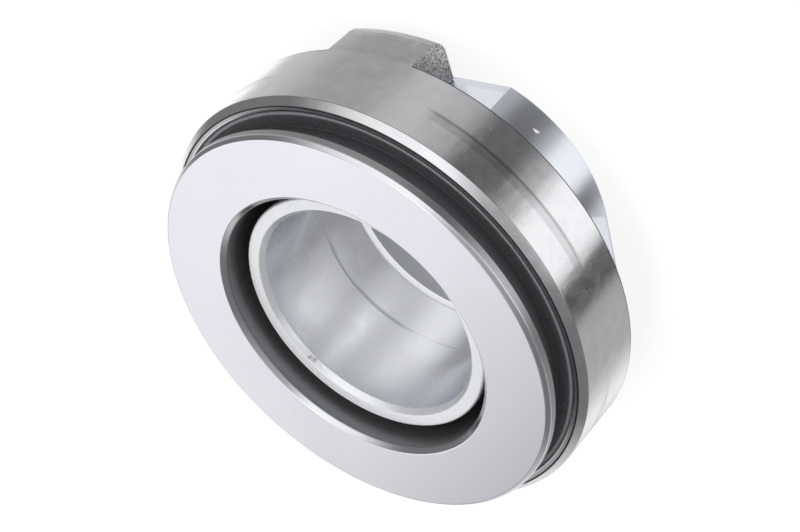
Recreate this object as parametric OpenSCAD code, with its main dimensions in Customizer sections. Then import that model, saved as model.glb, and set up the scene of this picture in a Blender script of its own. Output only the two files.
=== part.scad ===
// Self-centring clutch release bearing, standing on its rear flange with the contact face up.
// The bearing axis is Z, and the two lugs lie on +Y and -Y. Millimetres.

/* [Guide sleeve] */
// Bore that slides on the gearbox guide tube
guide_bore_d = 45; // [43:0.1:46]
// Outer diameter of the tube
sleeve_od = 52; // [50:0.1:52.6]
// Depth of the tube's front rim below the contact face
sleeve_recess = 4.3; // [2:0.1:8]
// Radial width of the lead-in at the front rim
front_lead_w = 0.95; // [0.4:0.05:1.5]
// Depth of the lead-in at the front rim
front_lead_h = 1.2; // [0.5:0.1:2.5]
// Lead-in at the rear end of the bore
rear_lead = 1.4; // [0.5:0.1:2]

/* [Rear flange] */
// Thickness of the flange
flange_t = 11.1; // [9:0.1:13]
// Turned diameter that its corners keep within
flange_d = 81; // [78:0.5:84]
// Width across the pair of flats that the lugs straddle
lug_flats = 69; // [66:0.5:71]
// Width across the other pair of flats
side_flats = 72; // [70:0.5:76]
// Radius that blends the side flats into the turned corners
corner_r = 28; // [20:0.5:32]

/* [Housing] */
// Wall around the outer race
housing_wall = 2.75; // [2:0.05:4]
// Height of the ring, from its rear face to its front land
housing_h = 16.3; // [15.8:0.1:19]
// Thickness of the floor that the bearing stands on
floor_t = 2.8; // [2:0.1:4]
// Chamfer around the front edge
front_chamfer = 1.3; // [0.4:0.1:1.8]
// Width of a lug
lug_w = 18.4; // [12:0.2:24]
// Height of a lug's inner rear edge above the flange's rear face
lug_end_gap = 0.9; // [0.3:0.1:3]
// Slope of a lug's rear end, in degrees
lug_slope = 4; // [0:1:20]
// Taper of a lug's outer face over its length
lug_draft = 0.5; // [0:0.1:1]
// Rounding of a lug's outer rear edge, kept within the lug's outer face
lug_tip_r = 3.3; // [0.4:0.1:4]
// Fillet at the root of a lug
lug_root_r = 0.5; // [0.5:0.1:3.5]

/* [Contact ring] */
// Thickness of the rim
ring_rim_t = 2.6; // [2:0.1:4]
// Height of the contact face above the housing's front land
ring_rise = 6.8; // [6:0.1:9]
// Chamfer around the contact face
face_chamfer = 0.7; // [0.3:0.1:1.2]
// Chamfer around the bore
bore_chamfer = 0.95; // [0.3:0.05:1.2]
// Wall between the bore and the ball groove
ring_wall = 3; // [2.4:0.1:4]
// Reach of the ring behind the ball centres
ring_tail = 3.2; // [2.6:0.1:3.4]
// Fillet under the rim
rim_fillet = 1; // [0.4:0.1:2]

/* [Balls and races] */
// Diameter of a ball
ball_d = 8.731; // [8.2:0.001:9.2]
// Number of balls
ball_count = 18; // [14:1:20]
// Wall of the outer race behind its groove
race_wall = 2.5; // [2:0.1:4]
// Height of the outer race
race_h = 11.4; // [10.8:0.1:12.4]
// Height of the ball centres above the outer race's rear face
ball_height = 7.2; // [6.8:0.1:7.5]
// Depth of a groove at its loaded shoulder
shoulder_high = 2.2; // [1.6:0.1:2.6]
// Depth of a groove at its open shoulder
shoulder_low = 0.4; // [0.2:0.05:0.8]

/* [Cage and seals] */
// Radial width of the cage
cage_w = 3; // [2.2:0.1:3.4]
// Web of the cage under the balls
cage_web = 1.15; // [0.8:0.05:1.3]
// Height of the cage's prongs above the ball centres
cage_prong = 1.8; // [1:0.1:2.4]
// Sheet thickness of the rear shield
shield_t = 0.6; // [0.4:0.1:0.8]
// Height of the shield's pressed rim
shield_rim_h = 1.2; // [0.8:0.1:1.4]
// Height of the seal's seat in the housing
seal_seat_h = 1.5; // [1.3:0.1:2]
// Width of the seal's seat, up to the crease at its lip
seal_seat_w = 3.5; // [2.5:0.1:4.2]
// Thickness of the seal's inner web
seal_web_t = 0.8; // [0.6:0.1:1]
// Outward lean of the lip over its height
seal_lip_lean = 1.3; // [0.4:0.1:2]
// Thickness of the lip at its edge
seal_lip_t = 0.7; // [0.4:0.1:1]
// Thickness of the lip at its root
seal_root_t = 1.6; // [1.2:0.1:2]

/* [Centring spring] */
// Overlap of the disc spring on the housing's floor
spring_land = 3.9; // [2:0.1:4]
// Thickness of the disc spring
spring_t = 0.7; // [0.4:0.1:0.9]
// Height of its cone
spring_rise = 1; // [0.6:0.1:1.2]
// Thickness of the snap ring
snap_t = 1.2; // [0.8:0.1:1.5]
// Radial width of the snap ring
snap_w = 2.7; // [2:0.1:3]
// Depth of the snap ring's groove, as a share of the tube's wall
snap_groove_share = 0.286; // [0.17:0.002:0.4]
// Opening of the snap ring, in degrees
snap_open = 40; // [10:5:90]

/* [Clearances] */
// Sideways travel of the bearing either way from the middle
centring_travel = 1; // [0.5:0.1:1]
// Room left beyond that travel
travel_margin = 0.6; // [0.4:0.1:0.6]
// Gap between the flange and the housing's rear face
float_gap = 0.3; // [0.2:0.05:0.6]
// Gap between a lug and its flat
lug_clear = 0.1; // [0.05:0.01:0.3]
// Gap between a ball and its grooves
ball_clear = 0.03; // [0.02:0.01:0.1]
// Gap between a ball and its cage pocket
pocket_clear = 0.12; // [0.05:0.01:0.2]
// Gap between the tube and the contact ring's bore
ring_clear = 2.2; // [1.8:0.1:4]
// Inset of the contact ring's rim from the housing's bore
rim_clear = 0.491; // [0.1:0.001:2]
// Gap between the seal's lip and the rim
lip_clear = 0.15; // [0.1:0.05:0.4]
// Gap between the seal's web and the contact ring
web_clear = 0.5; // [0.3:0.1:1]
// Gap between the disc spring and the housing's floor
spring_clear = 0.15; // [0.1:0.05:0.3]
// Gap of the spring and the snap ring on the tube
snap_clear = 0.05; // [0.02:0.01:0.1]
// Edge break on turned edges
edge_break = 0.3; // [0.1:0.05:0.4]

/* [Hidden] */
$fn = 128;
past = 1;

bore_r = guide_bore_d / 2;
sleeve_r = sleeve_od / 2;
sleeve_wall = sleeve_r - bore_r;
front_lead = min(front_lead_w, sleeve_wall - 2 * edge_break);
snap_groove = snap_groove_share * sleeve_wall;
ring_bore_d = sleeve_od + 2 * ring_clear;
ring_bore_r = ring_bore_d / 2;
ball_r = ball_d / 2;
groove_r = ball_r + ball_clear;
pitch_r = ring_bore_r + ring_wall + groove_r;
ring_low_r = pitch_r - groove_r + shoulder_low;
ring_high_r = pitch_r - groove_r + shoulder_high;
race_low_r = pitch_r + groove_r - shoulder_low;
race_high_r = pitch_r + groove_r - shoulder_high;
race_r = pitch_r + groove_r + race_wall;
housing_r = race_r + housing_wall;
ring_od = 2 * (race_r - rim_clear);
ring_r = ring_od / 2;
floor_bore_r = sleeve_r + centring_travel + travel_margin;

housing_z = flange_t + float_gap;
floor_z = housing_z + floor_t;
land_z = housing_z + housing_h;
face_z = land_z + ring_rise;
rim_z = face_z - ring_rim_t;
sleeve_z = face_z - sleeve_recess;
ball_z = floor_z + ball_height;
race_z = floor_z + race_h;
seat_z = race_z + seal_seat_h;
spring_z = floor_z + spring_clear;
snap_z = spring_z + spring_rise + spring_t;

spring_od = 2 * (floor_bore_r + spring_land);
spring_r = spring_od / 2;
shield_bore_r = spring_r + centring_travel + travel_margin;
snap_r = sleeve_r - snap_groove;
lug_y = lug_flats / 2 + lug_clear;
skirt_r = lug_y - past;
corner_x = side_flats / 2 - corner_r;
corner_y = sqrt(pow(flange_d / 2 - corner_r, 2) - pow(corner_x, 2));

turned_steel = [0.55, 0.55, 0.57];
ground_steel = [0.86, 0.86, 0.90];
plated_steel = [0.78, 0.81, 0.85];
bearing_steel = [0.66, 0.67, 0.70];
spring_steel = [0.38, 0.39, 0.42];
black_rubber = [0.08, 0.08, 0.09];
cage_polyamide = [0.30, 0.22, 0.16];

function ball_name(i) = str("ball_", i < 10 ? "0" : "", i);

// Points of an arc about a centre, from one angle to another
function arc(x, y, r, from, to, steps = 6) =
    [for (i = [0 : steps]) let (a = from + (to - from) * i / steps) [x + r * cos(a), y + r * sin(a)]];

// Points that round a corner between the ends of its two sides
function bend(a, corner, b, steps = 6) =
    [for (i = [0 : steps]) let (t = i / steps) (1 - t) * (1 - t) * a + 2 * t * (1 - t) * corner + t * t * b];

// Rounded square of the flange, cut by the pair of flats that the lugs straddle
module flange_outline() {
    intersection() {
        union() {
            square([side_flats, 2 * corner_y], center = true);
            square([2 * corner_x, 2 * (corner_y + corner_r)], center = true);
            for (x = [-corner_x, corner_x]) {
                for (y = [-corner_y, corner_y]) {
                    translate([x, y]) circle(r = corner_r);
                }
            }
        }
        square([side_flats + past, lug_flats], center = true);
    }
}

// Tube and flange in one piece, with the guide bore and the snap ring's groove
module guide_sleeve() {
    color(plated_steel) {
        difference() {
            union() {
                linear_extrude(height = flange_t) flange_outline();
                rotate_extrude() polygon([
                    [0, 0],
                    [sleeve_r, 0],
                    [sleeve_r, sleeve_z - edge_break],
                    [sleeve_r - edge_break, sleeve_z],
                    [0, sleeve_z]
                ]);
            }
            rotate_extrude() polygon([
                [0, -past],
                [bore_r + rear_lead, -past],
                [bore_r + rear_lead, 0],
                [bore_r, rear_lead],
                [bore_r, sleeve_z - front_lead_h],
                [bore_r + front_lead, sleeve_z],
                [bore_r + front_lead, sleeve_z + past],
                [0, sleeve_z + past]
            ]);
            rotate_extrude() translate([snap_r, snap_z]) square([snap_groove + past, snap_t + snap_clear]);
        }
    }
}

// Section of the housing, with the skirt that the lugs are cut from
module housing_section() {
    lug_rise = tan(lug_slope);
    tip = [housing_r - lug_draft, lug_end_gap + (housing_r - lug_draft - lug_y) * lug_rise];
    root = [housing_r, housing_z];
    end_way = [cos(lug_slope), sin(lug_slope)];
    side_way = (root - tip) / norm(root - tip);
    tip_r = min(lug_tip_r, norm(root - tip) - edge_break);
    polygon(concat(
        [
            [floor_bore_r, housing_z],
            [skirt_r, housing_z],
            [skirt_r, lug_end_gap - past * lug_rise]
        ],
        bend(tip - tip_r * end_way, tip, tip + tip_r * side_way),
        [
            root,
            [housing_r, land_z - front_chamfer],
            [housing_r - front_chamfer, land_z],
            [race_r + edge_break, land_z],
            [race_r, land_z - edge_break],
            [race_r, floor_z],
            [floor_bore_r, floor_z]
        ]
    ));
}

// Cut beside the lugs, with a fillet at their root
module lug_side_cut() {
    reach = housing_r + past;
    side = lug_w / 2;
    translate([0, reach, 0])
        rotate([90, 0, 0])
            linear_extrude(height = 2 * reach)
                polygon(concat(
                    [[side, -past]],
                    arc(side + lug_root_r, housing_z - lug_root_r, lug_root_r, 180, 90),
                    [[reach, housing_z], [reach, -past]]
                ));
}

// Ring around the bearing, with two lugs that straddle the flange
module housing() {
    reach = housing_r + past;
    color(turned_steel) {
        difference() {
            rotate_extrude() housing_section();
            for (turn = [0, 180]) {
                rotate([0, 0, turn]) lug_side_cut();
            }
            translate([-reach, -lug_y, -past]) cube([2 * reach, 2 * lug_y, housing_z + past]);
        }
    }
}

module ball_groove() {
    translate([pitch_r, ball_z]) circle(r = groove_r);
}

// Standing race, with its loaded shoulder behind the balls
module outer_race() {
    color(bearing_steel) {
        rotate_extrude() difference() {
            polygon([
                [race_high_r, floor_z],
                [race_r - edge_break, floor_z],
                [race_r, floor_z + edge_break],
                [race_r, race_z - edge_break],
                [race_r - edge_break, race_z],
                [race_low_r, race_z],
                [race_low_r, ball_z],
                [race_high_r, ball_z]
            ]);
            ball_groove();
        }
    }
}

// Turning race with the contact face, with its loaded shoulder in front of the balls
module contact_ring() {
    tail_z = ball_z - ring_tail;
    color(ground_steel) {
        rotate_extrude() difference() {
            polygon(concat(
                [
                    [ring_bore_r, tail_z],
                    [ring_low_r - edge_break, tail_z],
                    [ring_low_r, tail_z + edge_break],
                    [ring_low_r, ball_z],
                    [ring_high_r, ball_z]
                ],
                arc(ring_high_r + rim_fillet, rim_z - rim_fillet, rim_fillet, 180, 90),
                [
                    [ring_r - edge_break, rim_z],
                    [ring_r, rim_z + edge_break],
                    [ring_r, face_z - face_chamfer],
                    [ring_r - face_chamfer, face_z],
                    [ring_bore_r + bore_chamfer, face_z],
                    [ring_bore_r, face_z - bore_chamfer]
                ]
            ));
            ball_groove();
        }
    }
}

module place_ball(i) {
    rotate([0, 0, 360 * (i - 1) / ball_count]) translate([pitch_r, 0, ball_z]) children();
}

module ball(i) {
    color(bearing_steel) place_ball(i) sphere(d = ball_d);
}

// Crown cage: its pockets are open towards the contact face
module ball_cage() {
    cage_z = ball_z - ball_r - pocket_clear - cage_web;
    color(cage_polyamide) {
        difference() {
            rotate_extrude()
                translate([pitch_r - cage_w / 2, cage_z])
                    square([cage_w, ball_z + cage_prong - cage_z]);
            for (i = [1 : ball_count]) {
                place_ball(i) sphere(r = ball_r + pocket_clear);
            }
        }
    }
}

// Rubber ring seated on the outer race, with an outer lip under the rim and a web around the ring
module front_seal() {
    crease_r = race_r - seal_seat_w;
    web_r = ring_high_r + web_clear;
    lip_z = rim_z - lip_clear;
    color(black_rubber) {
        rotate_extrude() polygon([
            [race_low_r, race_z],
            [race_r, race_z],
            [race_r, seat_z - edge_break],
            [race_r - edge_break, seat_z],
            [crease_r, seat_z - edge_break],
            [crease_r + seal_lip_lean, lip_z],
            [crease_r + seal_lip_lean - seal_lip_t, lip_z],
            [crease_r - seal_root_t, seat_z],
            [web_r, seat_z],
            [web_r, seat_z - seal_web_t],
            [race_low_r - edge_break, seat_z - seal_web_t]
        ]);
    }
}

// Pressed steel ring in the outer race's rear opening
module rear_shield() {
    color(spring_steel) {
        rotate_extrude() polygon([
            [shield_bore_r, floor_z],
            [race_high_r, floor_z],
            [race_high_r, floor_z + shield_rim_h],
            [race_high_r - shield_t, floor_z + shield_rim_h],
            [race_high_r - shield_t, floor_z + shield_t],
            [shield_bore_r, floor_z + shield_t]
        ]);
    }
}

// Cone spring that clamps the housing's floor against the flange
module disc_spring() {
    hole_r = sleeve_r + snap_clear;
    color(spring_steel) {
        rotate_extrude() polygon([
            [spring_r, spring_z],
            [spring_r, spring_z + spring_t],
            [hole_r, spring_z + spring_rise + spring_t],
            [hole_r, spring_z + spring_rise]
        ]);
    }
}

// Split ring in the tube's groove, over the disc spring
module snap_ring() {
    color(spring_steel) {
        rotate([0, 0, snap_open / 2])
            rotate_extrude(angle = 360 - snap_open)
                translate([snap_r + snap_clear, snap_z])
                    square([snap_w, snap_t]);
    }
}

guide_sleeve();
housing();
outer_race();
contact_ring();
ball_cage();
front_seal();
rear_shield();
disc_spring();
snap_ring();
for (i = [1 : ball_count]) {
    ball(i);
}
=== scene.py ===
"""Looks of a self-centring clutch release bearing that stands on its rear flange, contact face up.

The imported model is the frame. The four pieces that show, the guide sleeve, the housing, the contact
ring and the front seal, are made again with broken edges and turning marks, and the pieces inside the
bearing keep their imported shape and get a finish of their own.
"""

import logging
import math
from dataclasses import dataclass, field
from enum import Enum

import bmesh
import bpy
from mathutils import Matrix, Vector


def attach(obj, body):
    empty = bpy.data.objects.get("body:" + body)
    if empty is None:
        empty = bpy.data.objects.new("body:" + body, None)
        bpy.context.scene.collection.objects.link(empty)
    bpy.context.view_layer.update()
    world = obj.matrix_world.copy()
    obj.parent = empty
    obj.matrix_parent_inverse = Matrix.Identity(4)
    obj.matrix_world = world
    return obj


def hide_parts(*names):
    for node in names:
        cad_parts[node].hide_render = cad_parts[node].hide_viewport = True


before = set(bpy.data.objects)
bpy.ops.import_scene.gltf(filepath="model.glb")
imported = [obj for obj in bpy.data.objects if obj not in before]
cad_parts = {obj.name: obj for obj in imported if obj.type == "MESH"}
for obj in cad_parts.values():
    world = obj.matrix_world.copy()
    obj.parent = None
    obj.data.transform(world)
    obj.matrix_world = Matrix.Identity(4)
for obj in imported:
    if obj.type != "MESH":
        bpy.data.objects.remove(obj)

LOG = logging.getLogger("release_bearing")
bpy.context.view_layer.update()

MM = 0.001
MICRON = 1e-6
METRE_IN_MM = 1000.0
WHITE = "#ffffff"

Tree = bpy.types.NodeTree
Node = bpy.types.Node
Socket = bpy.types.NodeSocket
Material = bpy.types.Material
Thing = bpy.types.Object
Source = Node | Socket
Value = float | int | bool | tuple[float, ...] | Source
Inputs = dict[int | str, Value]
Surface = tuple[Value, Value, Value]
Pair = tuple[float, float]
Vec3 = tuple[float, float, float]
Outline = list[Pair]


class Body(str, Enum):
    """The bodies that the part moves in."""

    GUIDE_HUB = "guide_hub"
    BEARING_UNIT = "bearing_unit"
    THRUST_RING = "thrust_ring"


class Slot(str, Enum):
    """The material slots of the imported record."""

    PLATED_STEEL = "plated_steel"
    TURNED_IRON = "turned_iron"
    GROUND_STEEL = "ground_steel"
    BEARING_STEEL = "bearing_steel"
    SPRING_STEEL = "spring_steel"
    SEAL_RUBBER = "seal_rubber"
    CAGE_POLYAMIDE = "cage_polyamide"


class Lay(Enum):
    """Where the lathe's lines show."""

    WALL = "wall"
    FACE_AND_WALL = "face_and_wall"


def linear(colour: str) -> tuple[float, float, float, float]:
    """Turns an sRGB hex colour into linear light.

    Args:
        colour: The colour as #rrggbb.

    Returns:
        Red, green, blue and a full alpha.
    """
    parts = [int(colour[i:i + 2], 16) / 255 for i in (1, 3, 5)]
    red, green, blue = (c / 12.92 if c <= 0.04045 else ((c + 0.055) / 1.055) ** 2.4 for c in parts)
    return red, green, blue, 1.0


def feed(tree: Tree, node: Node, inputs: Inputs) -> None:
    """Sets or links a node's inputs.

    Args:
        tree: The node's tree.
        node: The node.
        inputs: A value or a source for each input, by name or number. A node stands for its first output in use.
    """
    for key, value in inputs.items():
        if isinstance(value, Node):
            value = next(output for output in value.outputs if output.enabled)
        if isinstance(value, Socket):
            tree.links.new(value, node.inputs[key])
        else:
            node.inputs[key].default_value = value


def add(tree: Tree, kind: str, inputs: Inputs | None = None, **settings: object) -> Node:
    """Adds a node with its settings, and sets or links its inputs.

    Args:
        tree: The tree that takes the node.
        kind: The node's type name, without the family name that the tree's own nodes share.
        inputs: A value or a source for each input, by name or number.
        settings: The node's own properties.

    Returns:
        The new node.
    """
    family = "" if kind.startswith("Node") else tree.bl_idname.removesuffix("Tree")
    node = tree.nodes.new(family + kind)
    for name, setting in settings.items():
        setattr(node, name, setting)
    feed(tree, node, inputs or {})
    return node


def cleared(owner: Material | bpy.types.World) -> Tree:
    """Gives a material or a world an empty tree of nodes.

    Args:
        owner: The material or the world.

    Returns:
        Its tree.
    """
    owner.use_nodes = True
    owner.node_tree.nodes.clear()
    return owner.node_tree


def band(tree: Tree, value: Source, middle: float, half: float, soft: float) -> Node:
    """Adds a mask that is 1 within a stretch of a value and fades at both of its ends.

    Args:
        tree: The tree that takes the nodes.
        value: The value.
        middle: The middle of the stretch.
        half: Half its length, up to where the mask is a half.
        soft: Half the length over which it fades.

    Returns:
        The mask.
    """
    offset = add(tree, "Math", {0: value, 1: middle}, operation="SUBTRACT")
    size = add(tree, "Math", {0: offset}, operation="ABSOLUTE")
    return add(tree, "MapRange", {"Value": size, "From Min": half + soft, "From Max": half - soft},
               interpolation_type="SMOOTHSTEP")


def blend(tree: Tree, masks: list[Source], before: Surface, after: Surface) -> Surface:
    """Changes a surface's colour, roughness and relief where all masks are 1.

    Args:
        tree: The shader tree.
        masks: One or more masks, from 0 to 1.
        before: The colour, roughness and relief where a mask is 0.
        after: The colour, roughness and relief where they are all 1.

    Returns:
        The blended colour, roughness and relief.
    """
    mask, *others = masks
    for other in others:
        mask = add(tree, "Math", {0: mask, 1: other}, operation="MULTIPLY")
    return tuple(add(tree, "Mix", {"Factor": mask, "A": old, "B": new}, data_type=kind)
                 for kind, old, new in zip(("RGBA", "FLOAT", "FLOAT"), before, after))


@dataclass(frozen=True)
class TurnedPlace:
    """Where a point lies on a turned piece, as sources in a shader tree, in millimetres."""

    point: Source
    radius: Source
    side: Source
    height: Source
    along: Source

    @classmethod
    def read(cls, tree: Tree) -> "TurnedPlace":
        """Reads the place from Object coordinates.

        Args:
            tree: The shader tree.

        Returns:
            The point, its distance from the axis, its X, its height and its way along the turned outline.
        """
        place = add(tree, "TexCoord").outputs["Object"]
        point = add(tree, "VectorMath", {0: place, "Scale": METRE_IN_MM}, operation="SCALE")
        flat = add(tree, "VectorMath", {0: point, 1: (1.0, 1.0, 0.0)}, operation="MULTIPLY")
        radius = add(tree, "VectorMath", {0: flat}, operation="LENGTH")
        parts = add(tree, "SeparateXYZ", {0: point}).outputs
        along = add(tree, "Math", {0: radius, 1: parts["Z"]}, operation="ADD")
        return cls(point, radius, parts["X"], parts["Z"], along)


@dataclass(frozen=True)
class Finish:
    """A surface finish, with the values that the whole surface shares."""

    METALLIC = 0.0

    name: str
    colour: str
    roughness: float

    def material(self) -> Material:
        """Makes the material of this finish.

        Returns:
            The material.
        """
        material = bpy.data.materials.new(self.name)
        material.diffuse_color = linear(self.colour)
        tree = cleared(material)
        shader = add(tree, "BsdfPrincipled", {"Metallic": self.METALLIC, "Roughness": self.roughness,
                                              "Base Color": linear(self.colour)})
        add(tree, "OutputMaterial", {"Surface": shader})
        place = TurnedPlace.read(tree)
        colour, roughness, relief = self.surface(tree, place)
        bump = add(tree, "Bump", {"Height": relief, "Distance": MICRON, "Strength": 1.0})
        feed(tree, shader, {"Base Color": colour, "Roughness": roughness, "Normal": bump, **self.film(tree, place)})
        return material

    def surface(self, tree: Tree, place: TurnedPlace) -> Surface:
        """Adds what the eye meets first.

        Args:
            tree: The shader tree.
            place: Where a point lies on the piece.

        Returns:
            The colour, the roughness and the relief in microns.
        """
        raise NotImplementedError

    def film(self, tree: Tree, place: TurnedPlace) -> Inputs:
        """Adds what only some finishes have, such as a film that scatters light.

        Args:
            tree: The shader tree.
            place: Where a point lies on the piece.

        Returns:
            More inputs for the shader.
        """
        return {}


@dataclass(frozen=True, kw_only=True)
class TurnedMetal(Finish):
    """Metal off the lathe: fine lines that run round the axis, over a faint grain."""

    METALLIC = 1.0
    CLOUD_RANGE = {"From Min": 0.2, "From Max": 0.8}
    QUARTER_TURN = 0.25

    lay: Lay = Lay.FACE_AND_WALL
    mark_colour: str
    line_mm: float
    line_depth: float
    grain_mm: float
    grain_depth: float
    cloud_mm: float
    roughness_swing: float
    anisotropy: float = 0.0

    def surface(self, tree: Tree, place: TurnedPlace) -> Surface:
        """Adds the turned surface, and then what was finished in another way."""
        way = place.along if self.lay is Lay.FACE_AND_WALL else place.height
        lines = add(tree, "TexNoise", {"W": way, "Scale": 1 / self.line_mm, "Detail": 2.0}, noise_dimensions="1D")
        grain = add(tree, "TexNoise", {"Vector": place.point, "Scale": 1 / self.grain_mm, "Detail": 3.0})
        cloud = add(tree, "TexNoise", {"Vector": place.point, "Scale": 1 / self.cloud_mm, "Detail": 2.0})
        relief = add(tree, "Math", {0: lines, 1: self.line_depth}, operation="MULTIPLY")
        relief = add(tree, "Math", {0: grain, 1: self.grain_depth, 2: relief}, operation="MULTIPLY_ADD")
        share = add(tree, "MapRange", {"Value": cloud, **self.CLOUD_RANGE})
        colour = add(tree, "Mix", {"Factor": share, "A": linear(self.mark_colour), "B": linear(self.colour)},
                     data_type="RGBA")
        roughness = add(tree, "MapRange", {"Value": cloud, **self.CLOUD_RANGE,
                                           "To Min": self.roughness - self.roughness_swing,
                                           "To Max": self.roughness + self.roughness_swing})
        return self.local(tree, place, (colour, roughness, relief))

    def local(self, tree: Tree, place: TurnedPlace, surface: Surface) -> Surface:
        """Changes the surface where the piece was finished in another way; a plain turning has no such place.

        Args:
            tree: The shader tree.
            place: Where a point lies on the piece.
            surface: The turned surface's colour, roughness and relief.

        Returns:
            The colour, the roughness and the relief to use.
        """
        return surface

    def film(self, tree: Tree, place: TurnedPlace) -> Inputs:
        """Draws the reflection out across the turning lines, which lie along the radial tangent."""
        tangent = add(tree, "Tangent", direction_type="RADIAL", axis="Z")
        return {"Anisotropic": self.anisotropy, "Anisotropic Rotation": self.QUARTER_TURN, "Tangent": tangent}


@dataclass(frozen=True)
class Nick:
    """A small dent that a knock left. Millimetres, and its depth in microns."""

    FLOOR = 0.3

    place: Vec3
    size: float
    depth: float
    colour: str


@dataclass(frozen=True, kw_only=True)
class PlatedSteel(TurnedMetal):
    """Plated steel, with a milky skin on the tube's front end, a darker band in the bore's tool mark and a few dents.

    The pairs say where a mask starts and is full, as an offset or, for the darker band's side, as shares of the bore's
    radius.
    The mark's pair is half its width and half of what it fades over.
    """

    FLANGE = (0.2, 0.6)
    MARK = (0.38, 0.3)
    TUBE_SOFT = 0.05
    BAND_REACH = (0.8, 0.91)
    LEAD = (-0.3, -0.1)
    FACE = (-0.14, -0.06)
    NOISE_MIDDLE = (0.5, 0.5, 0.5)

    flange_colour: str
    flange_roughness: float
    skin_colour: str
    lead_metallic: float
    face_metallic: float
    mark_band_colour: str
    mark_band_way: Vec3
    swirl_mm: float
    swirl_width: float
    nicks: tuple[Nick, ...]

    def local(self, tree: Tree, place: TurnedPlace, surface: Surface) -> Surface:
        """Adds the flange's finish, the pale front end, the darker band in the tool mark and the dents."""
        sleeve = GuideSleeve()
        flange = add(tree, "MapRange", {"Value": place.radius, "From Min": sleeve.tube_r + self.FLANGE[0],
                                        "From Max": sleeve.tube_r + self.FLANGE[1]})
        surface = blend(tree, [flange], surface, (linear(self.flange_colour), self.flange_roughness, surface[2]))
        surface = blend(tree, [self.front_end(tree, place)], surface, (linear(self.skin_colour), *surface[1:]))
        # A darker band in the tool mark lies on one side of the bore and runs out at both ends
        mark = band(tree, place.height, sleeve.stop_z, *self.MARK)
        tube = band(tree, place.radius, 0.0, sleeve.tube_r, self.TUBE_SOFT)
        aside = add(tree, "VectorMath", {0: place.point, 1: self.mark_band_way}, operation="DOT_PRODUCT")
        reach = add(tree, "MapRange", {"Value": aside, "From Min": self.BAND_REACH[0] * sleeve.bore_r,
                                       "From Max": self.BAND_REACH[1] * sleeve.bore_r})
        surface = blend(tree, [mark, tube, reach], surface, (linear(self.mark_band_colour), *surface[1:]))
        swirl = add(tree, "TexNoise", {"Vector": place.point, "Scale": 1 / self.swirl_mm}).outputs["Color"]
        swirl = add(tree, "VectorMath", {0: swirl, 1: self.NOISE_MIDDLE}, operation="SUBTRACT")
        ragged = add(tree, "VectorMath", {0: swirl, 1: (self.swirl_width,) * 3, 2: place.point},
                     operation="MULTIPLY_ADD")
        for nick in self.nicks:
            gap = add(tree, "VectorMath", {0: ragged, 1: nick.place}, operation="DISTANCE")
            dent = add(tree, "MapRange", {"Value": gap, "From Min": nick.size, "From Max": nick.FLOOR * nick.size},
                       interpolation_type="SMOOTHSTEP")
            floor = add(tree, "Math", {0: surface[2], 1: nick.depth}, operation="SUBTRACT")
            surface = blend(tree, [dent], surface, (linear(nick.colour), surface[1], floor))
        return surface

    def front_end(self, tree: Tree, place: TurnedPlace) -> Node:
        """Adds a mask of the tube's front end, down to just past the lead-in."""
        low, high = (GuideSleeve().front_z - GuideSleeve().lead_h + offset for offset in self.LEAD)
        return add(tree, "MapRange", {"Value": place.height, "From Min": low, "From Max": high})

    def film(self, tree: Tree, place: TurnedPlace) -> Inputs:
        """Adds the milky skin, which scatters the light, on the lead-in and more so on the tube's end face."""
        low, high = (GuideSleeve().front_z + offset for offset in self.FACE)
        face = add(tree, "MapRange", {"Value": place.height, "From Min": low, "From Max": high,
                                      "To Min": self.lead_metallic, "To Max": self.face_metallic})
        skin = add(tree, "Mix", {"Factor": self.front_end(tree, place), "A": self.METALLIC, "B": face},
                   data_type="FLOAT")
        return super().film(tree, place) | {"Metallic": skin}


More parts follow.
